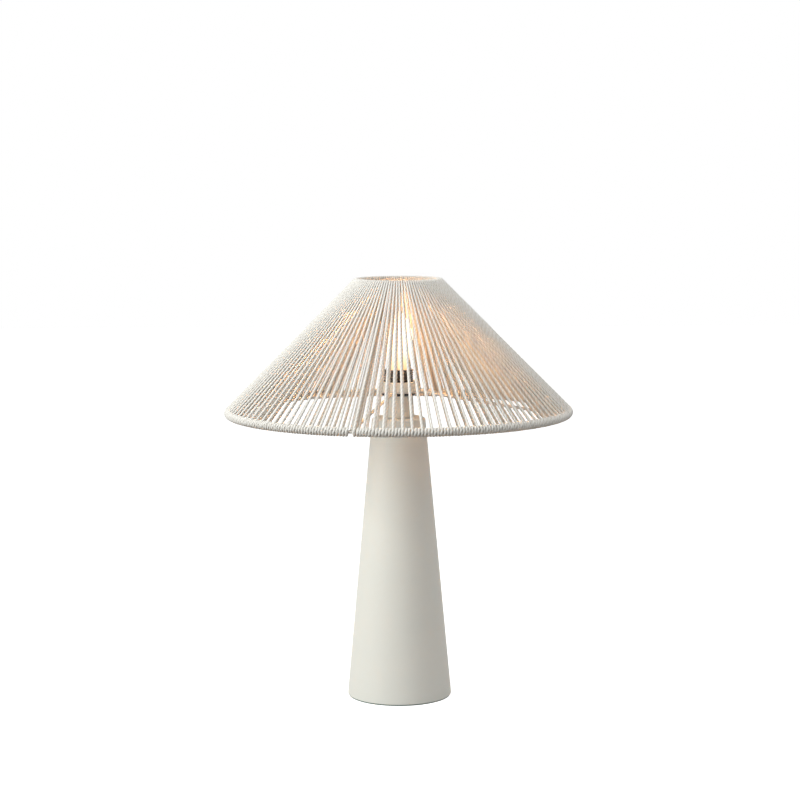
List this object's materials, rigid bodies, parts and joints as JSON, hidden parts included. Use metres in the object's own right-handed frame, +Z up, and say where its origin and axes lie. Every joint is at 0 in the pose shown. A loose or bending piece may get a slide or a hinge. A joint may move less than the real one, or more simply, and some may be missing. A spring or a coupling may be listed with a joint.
{
  "type": "table lamp",
  "caption": "Table lamp with a wide cone shade of wound cord on a wire frame, over a slim tapered cone base with a lit bulb.",
  "frame": {"origin": "middle of the underside of the foot, on the table", "axes": "+Z up through the shade, +Y to the back where the mains cord enters, +X to the right"},
  "size_m": [0.45, 0.45, 0.545],
  "materials": {
    "felt": "short green felt",
    "base_paint": "smooth matt off-white paint",
    "cup_paint": "smooth matt off-white paint",
    "plated_steel": "zinc plated",
    "cast_iron": "raw casting",
    "grommet_rubber": "soft off-white rubber",
    "holder_plastic": "black thermoplastic",
    "porcelain": "white glaze",
    "brass": "plain",
    "ring_plastic": "off-white thermoplastic",
    "frame_paint": "off-white powder coat",
    "shade_cord": "twisted off-white cord",
    "bulb_cap_metal": "plated",
    "bulb_contact_metal": "tinned",
    "bulb_black_glass": "black insulator",
    "bulb_housing_plastic": "white",
    "bulb_opal": "opal, lit warm white",
    "board_white": "white coated board"
  },
  "bodies": {
    "root": {"felt_pad": "felt", "foot_plate": "plated_steel", "foot_plate_screws": "plated_steel", "ballast": "cast_iron", "base_shell": "base_paint", "cord_grommet": "grommet_rubber", "stem_tube": "plated_steel", "stem_bottom_washer": "plated_steel", "stem_bottom_nut": "plated_steel", "stem_top_washer": "plated_steel", "stem_top_nut": "plated_steel", "neck_cup": "cup_paint", "holder_cap": "holder_plastic", "holder_set_screw": "plated_steel", "holder_barrel": "holder_plastic", "holder_insert": "porcelain", "terminal_screws": "brass", "thread_shell": "brass", "centre_contact": "brass"},
    "ring": {"retaining_ring": "ring_plastic"},
    "shade": {"spider_ring": "frame_paint", "shade_bottom_ring": "frame_paint", "shade_top_ring": "frame_paint", "spider_arm_1": "frame_paint", "spider_arm_2": "frame_paint", "spider_arm_3": "frame_paint", "spider_arm_4": "frame_paint", "shade_rib_1": "frame_paint", "shade_rib_2": "frame_paint", "shade_rib_3": "frame_paint", "shade_rib_4": "frame_paint", "shade_cord_01": "shade_cord", "shade_cord_02": "shade_cord", "shade_cord_03": "shade_cord", "shade_cord_04": "shade_cord", "shade_cord_05": "shade_cord", "shade_cord_06": "shade_cord", "shade_cord_07": "shade_cord", "shade_cord_08": "shade_cord", "shade_cord_09": "shade_cord", "shade_cord_10": "shade_cord", "shade_cord_11": "shade_cord", "shade_cord_12": "shade_cord"},
    "bulb": {"bulb_contact": "bulb_contact_metal", "bulb_insulator": "bulb_black_glass", "bulb_cap": "bulb_cap_metal", "bulb_housing": "bulb_housing_plastic", "bulb_dome": "bulb_opal", "bulb_led_board": "board_white"}
  },
  "joints": [
    {"name": "ring_lift", "type": "slide", "parent": "root", "child": "ring", "axis": [0, 0, 1], "range_m": [0, 0.15]},
    {"name": "shade_turn", "type": "hinge", "parent": "ring", "child": "shade", "pos_m": [0, 0, 0.399], "axis": [0, 0, 1], "continuous": true},
    {"name": "bulb_lift", "type": "slide", "parent": "root", "child": "bulb", "axis": [0, 0, 1], "range_m": [0, 0.15]}
  ]
}
